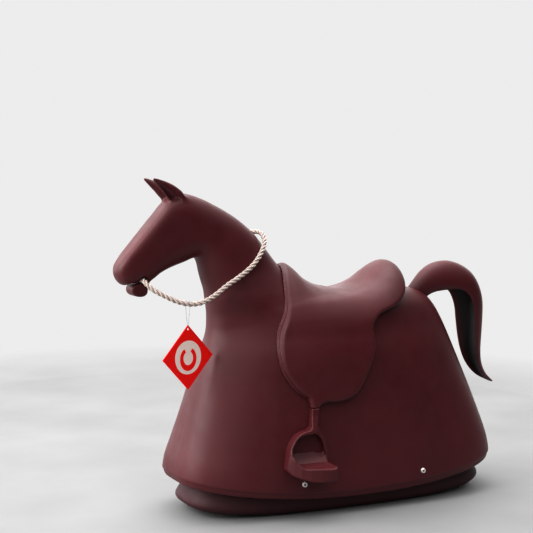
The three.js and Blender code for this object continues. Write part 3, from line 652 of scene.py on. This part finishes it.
# ------------------------------------------------------------------ the horse's form
# [front x, z, rear x, z, half width, droop of the sides, squareness in front, squareness behind]
FORM = [
    (357, 75, -427, 75, 162, 41, 3.3, 3.2), (360, 88, -430, 88, 163.5, 40, 3.3, 3.2),
    (356, 120, -427, 120, 160, 36, 3.2, 3.1), (343, 162, -414, 162, 154, 30, 3, 3),
    (324, 225, -391, 225, 146, 22, 2.7, 2.8), (305, 290, -364, 292, 137, 14, 2.5, 2.6),
    (286, 345, -340, 348, 128, 6, 2.35, 2.5), (275, 378, -321, 393, 115, 0, 2.25, 2.4),
    (272, 393, -301, 430, 108.2, 0, 2.2, 2.3), (271, 400, -278, 455, 103.6, 0, 2.2, 2.2),
    (270.5, 406, -240, 472, 98.2, 0, 2.25, 2.1), (270, 413, -190, 478, 92.9, 0, 2.3, 2),
    (270, 424, -125, 471, 88.4, 0, 2.25, 2), (270, 438, -60, 464, 82.8, 0, 2.3, 2),
    (270.5, 453, 0, 469, 78, 0, 2.5, 2), (272, 467, 48, 488, 73, 0, 2.6, 2),
    (275, 484, 84, 515, 66, 0, 2.6, 2), (282, 504, 112, 543, 59, 0, 2.6, 2.1),
    (288, 524, 138, 575, 55, 0, 2.6, 2.2), (292, 542, 170, 612, 52, 0, 2.6, 2.2),
    (297, 553, 212, 645, 49, 0, 2.6, 2.2), (304, 557, 262, 673, 47, 0, 2.6, 2.2),
    (315, 555, 305, 691, 45, 0, 2.8, 2.4), (330, 549, 338, 696, 43, 0, 3, 3),
    (347, 543, 366, 682, 41, 0, 3, 4), (366, 536, 392, 652, 39.5, 0, 3, 5),
    (386, 526, 419, 621, 38, 0, 3, 5), (406, 512, 443, 593, 36.5, 0, 3, 5),
    (428, 509, 461, 572, 35, 0, 3, 5), (450, 505, 472, 558, 33, 0, 3, 4),
    (466, 503, 481, 546, 28, 0, 2.6, 3), (476, 510, 484, 535, 18, 0, 2.2, 2.4),
    (480.5, 517, 484.4, 528, 9, 0, 2.1, 2.1),
]
SKIRT_CENTRE_X = -35
SKIRT_HALF = 394
RIM_LEVEL = 75  # at the skirt's front and rear
RIM_DROP = 41  # how much lower the rim is at the middle of the sides
LEDGE_ABOVE_RIM = 12.5
LEDGE_DEPTH = 2.6
WALL = 6.5


def form_rings(rows, around, grow=0.0):
    """Closed rings of the form. Each is a rounded oval that may droop at the sides."""
    angles = np.arange(around) / around * 2 * math.pi
    cos, sin = np.cos(angles), np.sin(angles)
    rings = []
    for fx, fz, rx, rz, half, droop, front_power, rear_power in rows:
        exponent = 2 / np.where(cos > 0, front_power, rear_power)
        u, v = power(cos, exponent), power(sin, exponent)
        middle, along = np.array([fx + rx, fz + rz]) / 2, np.array([fx - rx, fz - rz]) / 2
        along = along * (1 + grow / np.linalg.norm(along))
        rings.append(np.stack([middle[0] + along[0] * u, (half + grow) * v,
                               middle[1] + along[1] * u - droop * (1 - u * u)], axis=1))
    return rings


form_rows = smooth_table(FORM, 6)
rings = form_rings(form_rows, 112)
rings.insert(0, rings[0] - 60 * UP)
form_points, form_faces = skin(rings)
form_faces = turned_out(form_points, form_faces)
form_tree = BVHTree.FromPolygons(form_points.tolist(), form_faces)


def form(x, y, z):
    """How far points are outside the horse's form, which runs on below the skirt's rim."""
    return tree_distance(form_tree, x, y, z)


EAR_ROOT = np.array([340.0, 21.5, 674.0])
EAR_TIP = np.array([407.0, 29.5, 728.5])
EAR_FACING = np.array([0.42, 1.0, -0.28])
EAR_BOW = 5.0
# [share of the length, half chord] and [share of the length, depth of the scoop as a share of the half chord]
EAR_CHORD = np.array([(-0.3, 16), (0, 17), (0.25, 17.5), (0.5, 14.2), (0.75, 9.2), (0.92, 4.8), (1, 2.2)])
EAR_SCOOP = np.array([(0, 0.62), (0.6, 0.6), (0.85, 0.4), (1, 0.1)])
EAR_THICKNESS = 0.62  # this and the next three are shares of the half chord
SCOOP_PLACE = (-0.12, 0.6)
SCOOP_HALF_WIDTH = 0.66
EAR_SLOPE = 0.7


def ear(x, y, z):
    """A pointed leaf with a scooped face turned outwards and forwards."""
    length = np.linalg.norm(EAR_TIP - EAR_ROOT)
    along = (EAR_TIP - EAR_ROOT) / length
    outwards = EAR_FACING - along * EAR_FACING.dot(along)
    outwards /= np.linalg.norm(outwards)
    across = np.cross(along, outwards)
    p = np.stack([x, y, z], axis=1) - EAR_ROOT
    t = p @ along / length
    c, o = p @ across - EAR_BOW * np.sin(np.pi * np.clip(t, 0, 1)), p @ outwards
    chord, depth = np.interp(t, *EAR_CHORD.T), np.interp(t, *EAR_SCOOP.T)
    c, o = c / chord, o / chord
    leaf = (np.sqrt(c**2 + (o / EAR_THICKNESS) ** 2) - 1) * EAR_SLOPE * chord
    scoop = np.hypot((c - SCOOP_PLACE[0]) / SCOOP_HALF_WIDTH, (o - SCOOP_PLACE[1]) / depth) - 1
    leaf = soft_max(leaf, -scoop * depth * chord, 1.0)
    return round_max(leaf, (t - 1) * length, 1.5)


JAW = outline((404, 522), (417, 500), (413, 481, 427, 478), (444, 476, 451, 486), (456, 497, 447, 504),
              (430, 508), (414, 524))
JAW_HALF_WIDTH = 22
MOUTH_RADIUS = 7.5
LIP_ACROSS = (0.29, 0.957)  # x and z of the direction square to the slit between the lips
LIP_MIDDLE_X = 443
LIP_HALF_LENGTH = 16


HEAD_FROM_X = 280
HEAD_FROM_Z = 460


def body_field(x, y, z):
    """The form with the ears, jaw and mouth added, cut off at the skirt's rim with a small ledge above it."""
    out = form(x, y, z)
    near = (z > HEAD_FROM_Z) & (x > HEAD_FROM_X)
    part = out[near]
    px, py, pz = x[near], y[near], z[near]
    part = soft_min(part, ear(px, py, pz), 6)
    jaw = round_max(flat_distance(JAW, px, pz), py - JAW_HALF_WIDTH, 4)
    part = soft_min(part, jaw, 5)
    corner = np.hypot(px - MOUTH[0], pz - MOUTH[1]) - MOUTH_RADIUS
    lip = np.abs((px - MOUTH[0]) * LIP_ACROSS[0] + (pz - MOUTH[1] + 2.5) * LIP_ACROSS[1]) - 1.6
    lip = np.maximum(lip, np.abs(px - LIP_MIDDLE_X) - LIP_HALF_LENGTH)
    part = soft_max(part, -soft_min(corner, lip, 3), 3)
    out[near] = part
    rim = RIM_LEVEL - RIM_DROP * (1 - np.clip((x - SKIRT_CENTRE_X) / SKIRT_HALF, -1, 1) ** 2)
    above = z - rim
    out = out + LEDGE_DEPTH / (1 + np.exp((above - LEDGE_ABOVE_RIM) / 0.6))
    return round_max(out, -above, 3.2)


body_x = steps((-441, 6), (264, 2.5), (496, 1))
body_z = steps((24, 2.0), (96, 5.8), (456, 2.3), (664, 1.5), (740, 1))
points, faces = moulded(body_field, body_x, half_steps(172, 1.8, (46, 3.9)), body_z, both_sides=True)
body = make_object("body_shell_moulded", points, faces)
hollow_rings = form_rings(smooth_table(FORM[:21], 2), 56, -WALL)  # the head above these rows is solid
hollow_rings.insert(0, hollow_rings[0] - 70 * UP)
hollow_points, hollow_faces = skin(hollow_rings)
cut_out(body, make_object("hollow", hollow_points, turned_out(hollow_points, hollow_faces)))
dress(body, shell_plastic, "horse", "shell_plastic", "body_shell")

# ------------------------------------------------------------------ saddle
SADDLE = outline((84, 560), (112, 520, 117, 470), (122, 438, 139, 410), (151, 385, 151, 350),
                 (150, 312, 131, 289), (116, 268, 96, 256), (92, 250, 91, 226), (72, 226), (71, 244, 48, 244),
                 (6, 238, -20, 258), (-36, 270.5, -54, 306), (-71, 340, -76, 360), (-76, 376, -72, 392),
                 (-74, 416, -104, 430), (-150, 440, -175, 468), (-193, 490, -191, 525),
                 (-188, 548, -172, 560))
# [x, height of the crown, half width at the foot]
SEAT = smooth_table([
    (-205, 524, 96), (-190, 534, 106), (-168, 539, 116), (-140, 525, 122), (-112, 503, 125), (-80, 485, 127),
    (-46, 478, 126), (-10, 483, 124), (13, 488, 122), (29, 494, 120), (44, 502, 118), (57, 513, 116),
    (69, 526, 114), (82, 536, 112), (95, 537, 110), (120, 522, 106)], 6)
SEAT_FOOT = 395
FLAP_THICKNESS = 13
FLAP_THINS = ([370, 420, 470], [1, 0.8, 0.4])  # heights, and shares of the thickness there
FRONT_THICKNESS = 15
CANTLE_SKIN = 10  # how far out from the shell the hollow below the cantle reaches
CANTLE_RIM = 14
UNDERCUT_FADE = 30
LIP_THICKNESS = 4.2
CLEARANCE = 0.4  # between the pieces and the shell that they are bolted on
FLAP_END = 234.0
FAR = 200  # takes a limit out of reach where it doesn't hold


def seat(x, y, z):
    """A vault from the pommel over the seat to the cantle."""
    crown, half = np.interp(x, SEAT[:, 0], SEAT[:, 1]), np.interp(x, SEAT[:, 0], SEAT[:, 2])
    up = np.maximum(z - SEAT_FOOT, 0) / (crown - SEAT_FOOT)
    roundness = np.interp(x, [-60, 30, 80], [2.05, 1.85, 1.6])  # the pommel is more pointed than the seat
    return ((np.abs(y) / half) ** roundness + up**roundness + 1e-9) ** (1 / roundness) - 1


def saddle_field(x, y, z):
    """Flaps on the shell and the seat above them, inside the outline, with a thin lip round the edge."""
    skin_distance = form(x, y, z)
    edge = flat_distance(SADDLE, x, z)
    flap = skin_distance - FLAP_THICKNESS * np.clip(0.15 + np.abs(y) / 60, 0, 1) * np.interp(z, *FLAP_THINS)
    whole = soft_min(flap, unit_slope(seat, x, y, z), 26)
    at_the_rear = np.clip(-x / 60, 0, 1)
    front_limit = skin_distance - FRONT_THICKNESS - 2.5 * np.maximum(0, -edge - 4) - FAR * at_the_rear
    whole = soft_max(whole, front_limit, 10)
    on_cantle = np.clip((-x - 50) / 60, 0, 1) * np.clip((z - 400) / 30, 0, 1)
    whole = round_max(whole, edge, 5 + 3 * on_cantle)
    under = np.maximum(skin_distance - CANTLE_SKIN, -edge - CANTLE_RIM)
    whole = round_max(whole, -under - UNDERCUT_FADE * (1 - on_cantle), 3)
    above_tab = np.clip((z - 240) / 24, 0, 1)
    lip = round_max(skin_distance - LIP_THICKNESS, edge - LIP_THICKNESS * above_tab, 1.4)
    whole = soft_min(whole, lip, 0.8)
    return np.maximum(np.maximum(whole, CLEARANCE - skin_distance), FLAP_END - z)


points, faces = moulded(saddle_field, steps((-206, 2.6), (60, 1.9), (162, 1)), half_steps(166, 2.3),
                        steps((226, 2.3), (552, 1)), both_sides=True)
saddle = make_object("saddle_moulded", points, faces)
dress(saddle, shell_plastic, "horse", "shell_plastic", "saddle")

# ------------------------------------------------------------------ stirrups
# The left stirrup's outlines: its face and the opening in it from the side, the whole from in front and from
# above, and the tread's heel from in front.
FACE = outline((91, 242), (97, 197), (99, 190, 108, 189), (131, 186, 143, 168), (152, 156, 155, 140),
               (161, 112), (158, 100, 131, 92), (112, 86, 95, 86), (66, 86), (58, 86, 57, 96), (56, 128),
               (58, 142), (61, 167, 72, 181), (80, 190, 81, 199), (72, 242))
OPENING = outline((66, 116), (128, 116), (144, 122, 148, 142), (148, 152, 140, 163), (130, 180, 110, 181),
                  (92, 182), (74, 176, 68, 150), (65, 134))
FROM_FRONT = np.array([(120, 242), (153, 242), (156, 220), (161, 204), (166, 188), (169, 168), (172, 152),
                       (178, 140), (188, 130), (200, 122.5), (210, 118), (216, 112), (216, 92), (211, 86),
                       (120, 86)], float)
FROM_ABOVE = np.array([(162, 120), (162, 158), (158, 171), (150, 182), (137, 194), (119, 204), (97, 212),
                       (78, 216), (66, 216), (60, 212), (57, 204), (55, 180), (54, 120)], float)
TREAD_TOP = 116
TREAD_MIDDLE_X = 106
TREAD_HALF_LENGTH = 45
REAR_ARM_X = 84  # the rear arm is behind this
REAR_ARM_Y = 163  # and no further out than this
HEEL = np.array([(120, 142), (152, 142), (159, 131), (170, 121), (188, 116), (188, 100), (120, 100)], float)


def stirrup_field(x, y, z):
    """A strap, the ring below it and the tread, which runs back to the shell."""
    ring = round_max(flat_distance(FACE, x, z), -flat_distance(OPENING, x, z), 2)
    ring = round_max(ring, flat_distance(FROM_FRONT, y, z), 2)
    beside_rear_arm = np.maximum(np.maximum(x - REAR_ARM_X, REAR_ARM_Y - y), TREAD_TOP + 1 - z)
    ring = round_max(ring, -beside_rear_arm, 2)
    foot = soft_max(flat_distance(HEEL, y, z), np.abs(x - TREAD_MIDDLE_X) - TREAD_HALF_LENGTH, 4)
    whole = round_max(soft_min(ring, foot, 5), flat_distance(FROM_ABOVE, x, y), 2.5)
    skin_distance = form(x, y, z)
    return np.maximum(np.maximum(whole, z - FLAP_END + CLEARANCE), CLEARANCE - skin_distance)


points, faces = moulded(stirrup_field, steps((50, 1.4), (166, 1)), steps((134, 1.4), (220, 1)),
                        steps((82, 1.4), (238, 1)))
for name, flip in (("left", 1), ("right", -1)):
    placed = points * np.array([1, flip, 1])
    stirrup = make_object(f"stirrup_{name}_moulded", placed, faces if flip > 0 else faces[:, ::-1])
    dress(stirrup, shell_plastic, "horse", "shell_plastic", f"stirrup_{name}")

# ------------------------------------------------------------------ tail
# [outer x, z, inner x, z, half width, depth of the scoop as a share of the section]
TAIL = [
    (-236, 462, -268, 436, 22, -0.08), (-252, 481, -284, 452, 25, -0.08), (-277, 508, -303, 461, 30, -0.08),
    (-307, 526, -322, 464, 35, -0.06), (-344, 532, -345, 463, 39, 0.05), (-379, 524, -366, 458, 42, 0.4),
    (-411, 504, -381, 446, 44, 0.68), (-431, 475, -390, 430, 45, 0.8), (-441, 441, -396, 410, 45, 0.84),
    (-442, 405, -399, 382, 44, 0.84), (-439, 360, -404, 340, 41, 0.82), (-437, 319, -411, 305, 36, 0.78),
    (-441, 287, -424, 273, 29, 0.7), (-457, 257, -446, 247, 19, 0.55), (-484, 232, -479, 230, 5, 0.2),
]


TAIL_ROWS = smooth_table(TAIL, 7)
TAIL_BACK = 27  # points round the outer side of a section, and round its scoop
TAIL_SCOOP = 14
SCOOP_MOUTH = 0.84  # half width of the scoop's mouth, as a share of the section's
SQUARENESS = 0.85
scoop_angles = (np.arange(TAIL_SCOOP) + 0.5) / TAIL_SCOOP * math.pi


def tail_rings():
    """Sections of the tail: round on the outer side and scooped on the inner one."""
    a = np.linspace(0, math.pi, TAIL_BACK)
    back = np.stack([1 - power(np.sin(a), SQUARENESS), power(np.cos(a), SQUARENESS)], axis=1)
    rings = []
    for ox, oz, ix, iz, half, scoop in TAIL_ROWS:
        front = np.stack([1 - scoop * np.sin(scoop_angles), -SCOOP_MOUTH * np.cos(scoop_angles)], axis=1)
        section = np.vstack([back, front])
        for _ in range(2):
            section = (section + 0.5 * (np.roll(section, 1, axis=0) + np.roll(section, -1, axis=0))) / 2
        share, y = section[:, 0], section[:, 1] * half
        rings.append(np.stack([ox + (ix - ox) * share, y, oz + (iz - oz) * share], axis=1))
    return rings


points, faces = skin(tail_rings())
tail = make_object("tail_moulded", points, turned_out(points, faces))
# How deep each point lies in the tail's scoop, which the tail's material turns into painted shade.
deep = np.concatenate([np.zeros(TAIL_BACK), np.sin(scoop_angles)])
scoops = TAIL_ROWS[:, 5].clip(0, 1)
hollow = tail.data.attributes.new("hollow", "FLOAT", "POINT")
hollow.data.foreach_set("value", np.outer(scoops, deep).ravel().astype(np.float32))
tail_plastic = plastic("tail_plastic", SHELL_DARK, SHELL_LIGHT, hollow="hollow")
dress(tail, tail_plastic, "horse", "shell_plastic", "tail")

# ------------------------------------------------------------------ rocker base
BASE_MIDDLE_X = -36
BASE_HALF_LENGTH = 370
BASE_HALF_WIDTH = 131
BASE_SQUARENESS = 3.3
BASE_AROUND = 120
FLAT_HALF = 60  # half length of the underside's flat middle
ROCKER_RADIUS = 4000
# [scale, level, share of the rocker's curve]: below the tub's floor, up its side, over its edge and inside
BASE_RINGS = [(0.3, 3, 1), (0.7, 3, 1), (0.93, 3.2, 1), (0.965, 5, 1), (0.985, 8.5, 1), (0.997, 14, 0.95),
              (1, 21, 0.85), (0.993, 30, 0.7), (0.977, 42, 0.45), (0.955, 58, 0.2), (0.935, 76, 0),
              (0.925, 93, 0), (0.92, 96, 0), (0.912, 96, 0), (0.905, 93, 0), (0.915, 74, 0), (0.935, 50, 0.3),
              (0.95, 24, 0.8), (0.9, 12, 1), (0.3, 10, 1)]


def rocker_rise(x):
    """How far the underside has risen from the floor."""
    run = np.maximum(0, np.abs(x - BASE_MIDDLE_X) - FLAT_HALF)
    return run * run / (2 * ROCKER_RADIUS)


def base_rings():
    angles = np.arange(BASE_AROUND) / BASE_AROUND * 2 * math.pi
    u, v = power(np.cos(angles), 2 / BASE_SQUARENESS), power(np.sin(angles), 2 / BASE_SQUARENESS)
    rings = []
    for scale, level, share in smooth_table(BASE_RINGS, 3):
        x = BASE_MIDDLE_X + BASE_HALF_LENGTH * scale * u
        rings.append(np.stack([x, BASE_HALF_WIDTH * scale * v, level + share * rocker_rise(x)], axis=1))
    return rings


points, faces = skin(base_rings())
base = make_object("rocker_base_moulded", points, turned_out(points, faces))
dress(base, base_plastic, "horse", "base_plastic", "rocker_base")

# ------------------------------------------------------------------ print on both faces of the tag
CARD_FACE = 0.8  # from the card's middle to its face
DISC_RADIUS = 36.0
# [radius, height above the card's face]
DISC_RINGS = [(DISC_RADIUS - 0.3, 0.02), (DISC_RADIUS, 0.06), (DISC_RADIUS - 0.2, 0.14), (30, 0.15),
              (1, 0.15)]
SHOE_HEIGHTS = np.array([0.16, 0.16, 0.3, 0.3])
SHOE_TALLER = 1.16


def on_card(side, u, v, height):
    """Points on a face of the card: u to the reader's right, v up, height above the face."""
    u, v, height = np.broadcast_arrays(u, v, height)
    return (TAG_CENTRE - side * u[..., None] * TAG_ALONG + v[..., None] * UP
            + side * (CARD_FACE + height[..., None]) * TAG_OUT)


def tag_disc(side):
    a = np.arange(72) / 72 * 2 * math.pi
    return [on_card(side, r * np.cos(a), r * np.sin(a), h) for r, h in DISC_RINGS]


def horseshoe(side):
    """A plain horseshoe, open at the top, with heels that turn in a little."""
    rings = []
    for a in np.radians(np.linspace(122, 418, 61)):
        heel = abs(math.degrees(a) - 270) / 148
        mid, half = 18.5 - 2.5 * heel**3, 5.2 - 1.6 * heel**2
        r = np.array([mid - half, mid + half, mid + half, mid - half])
        rings.append(on_card(side, r * math.cos(a), SHOE_TALLER * r * math.sin(a) - 1, SHOE_HEIGHTS))
    return rings


for label, side in (("near", 1), ("far", -1)):
    for name, shape, material in (("disc", tag_disc, card_pale), ("horseshoe", horseshoe, card_red)):
        points, faces = skin(shape(side))
        print_piece = make_object(f"tag_{name}_{label}", points, turned_out(points, faces), smooth=False)
        dress(print_piece, material, "tag", "tag_card")

# ------------------------------------------------------------------ strips and fasteners keep their CAD shape
CAD_MATERIALS = {
    "side_screw": steel, "tail_bolt": steel, "saddle_bolt": steel, "stirrup_bolt": steel,
    "threaded_insert": brass, "rubber_strip": rubber, "swing_tag": card_red,
}
for name, node in nodes.items():
    for start, material in CAD_MATERIALS.items():
        if name.startswith(start):
            node.data.materials.clear()
            node.data.materials.append(material)

# ------------------------------------------------------------------ floor, light and background
# These are in metres. The floor stops short of the camera, so that it doesn't glow on the horse's near side.
FLOOR_SIDE = 12
FLOOR_FRONT = 1.45
FLOOR_LEVEL = -0.0004
FADE_CENTRE = (0.0, -0.6, 0.0)
FADE_FROM = 1.25
FADE_TO = 2.0
BACKGROUND = 0.76
floor_corners = np.array([(side, y, FLOOR_LEVEL) for side, y in (
    (-FLOOR_SIDE, -FLOOR_SIDE), (FLOOR_SIDE, -FLOOR_SIDE),
    (FLOOR_SIDE, FLOOR_FRONT), (-FLOOR_SIDE, FLOOR_FRONT))])
floor = make_object("floor", floor_corners / MM, [(0, 1, 2, 3)], smooth=False)


def floor_material():
    """Plain pale floor that fades into the background further out."""
    material, tree, shader = new_material("pale_floor")
    place = object_place(tree)
    tree.links.new(mixed(tree, spread(tree, noise(tree, 3.0, 5.0, place), 0.0, 1.0), linear(126, 126, 126),
                         linear(136, 136, 136)), shader.inputs["Base Color"])
    shader.inputs["Roughness"].default_value = 0.8
    far = tree.nodes.new("ShaderNodeVectorMath")
    far.operation = "DISTANCE"
    far.inputs[1].default_value = FADE_CENTRE
    tree.links.new(place, far.inputs[0])
    glow = tree.nodes.new("ShaderNodeEmission")
    glow.inputs["Color"].default_value = (BACKGROUND, BACKGROUND, BACKGROUND, 1)
    fade = tree.nodes.new("ShaderNodeMixShader")
    tree.links.new(spread(tree, far.outputs["Value"], 0.0, 1.0, FADE_FROM, FADE_TO), fade.inputs["Fac"])
    tree.links.new(shader.outputs["BSDF"], fade.inputs[1])
    tree.links.new(glow.outputs["Emission"], fade.inputs[2])
    output = [n for n in tree.nodes if n.type == "OUTPUT_MATERIAL"][0]
    tree.links.new(fade.outputs["Shader"], output.inputs["Surface"])
    return material


floor.data.materials.append(floor_material())

world = bpy.data.worlds.new("studio")
bpy.context.scene.world = world
world.use_nodes = True
tree = world.node_tree
background = tree.nodes["Background"]
background.inputs["Color"].default_value = (1, 1, 1, 1)
direction = tree.nodes.new("ShaderNodeTexCoord").outputs["Generated"]


def world_light(towards, low, high, start, end):
    """Light that grows from low to high as the direction turns towards something."""
    turned = tree.nodes.new("ShaderNodeVectorMath")
    turned.operation = "DOT_PRODUCT"
    turned.inputs[1].default_value = towards
    tree.links.new(direction, turned.inputs[0])
    return spread(tree, turned.outputs["Value"], low, high, start, end)


# A pale wall behind the horse and a bright ceiling light it; the room on the camera's side is dark.
both = tree.nodes.new("ShaderNodeMath")
both.operation = "MAXIMUM"
TO_WALL = (0.1, -0.93, 0.35)
TO_CEILING = (0.12, -0.1, 0.98)
tree.links.new(world_light(TO_WALL, 0.01, 2.2, -0.05, 0.6), both.inputs[0])
tree.links.new(world_light(TO_CEILING, 0.01, 2.6, 0.3, 0.95), both.inputs[1])
path = tree.nodes.new("ShaderNodeLightPath")
seen = tree.nodes.new("ShaderNodeMix")
tree.links.new(path.outputs["Is Camera Ray"], seen.inputs["Factor"])
tree.links.new(both.outputs["Value"], seen.inputs["A"])
seen.inputs["B"].default_value = BACKGROUND
tree.links.new(seen.outputs["Result"], background.inputs["Strength"])


def soft_light(name, place, target, size, power_watts):
    """A rectangular lamp that faces its target."""
    data = bpy.data.lights.new(name, "AREA")
    data.shape = "RECTANGLE"
    data.size, data.size_y = size
    data.energy = power_watts
    light = bpy.data.objects.new(name, data)
    bpy.context.scene.collection.objects.link(light)
    light.location = place
    light.rotation_euler = (Vector(target) - Vector(place)).to_track_quat("-Z", "Y").to_euler()


soft_light("key", (3.4, -0.1, 1.7), (0.0, 0.0, 0.4), (3.2, 2.8), 128)
soft_light("top", (0.2, -0.4, 3.4), (0.0, 0.0, 0.3), (3.0, 2.6), 62)
soft_light("fill", (2.2, 3.4, 1.5), (0.2, 0.0, 0.4), (2.0, 1.6), 18)
view = bpy.context.scene.view_settings
view.view_transform = "Standard"
view.exposure = 0.2
view.gamma = 0.8
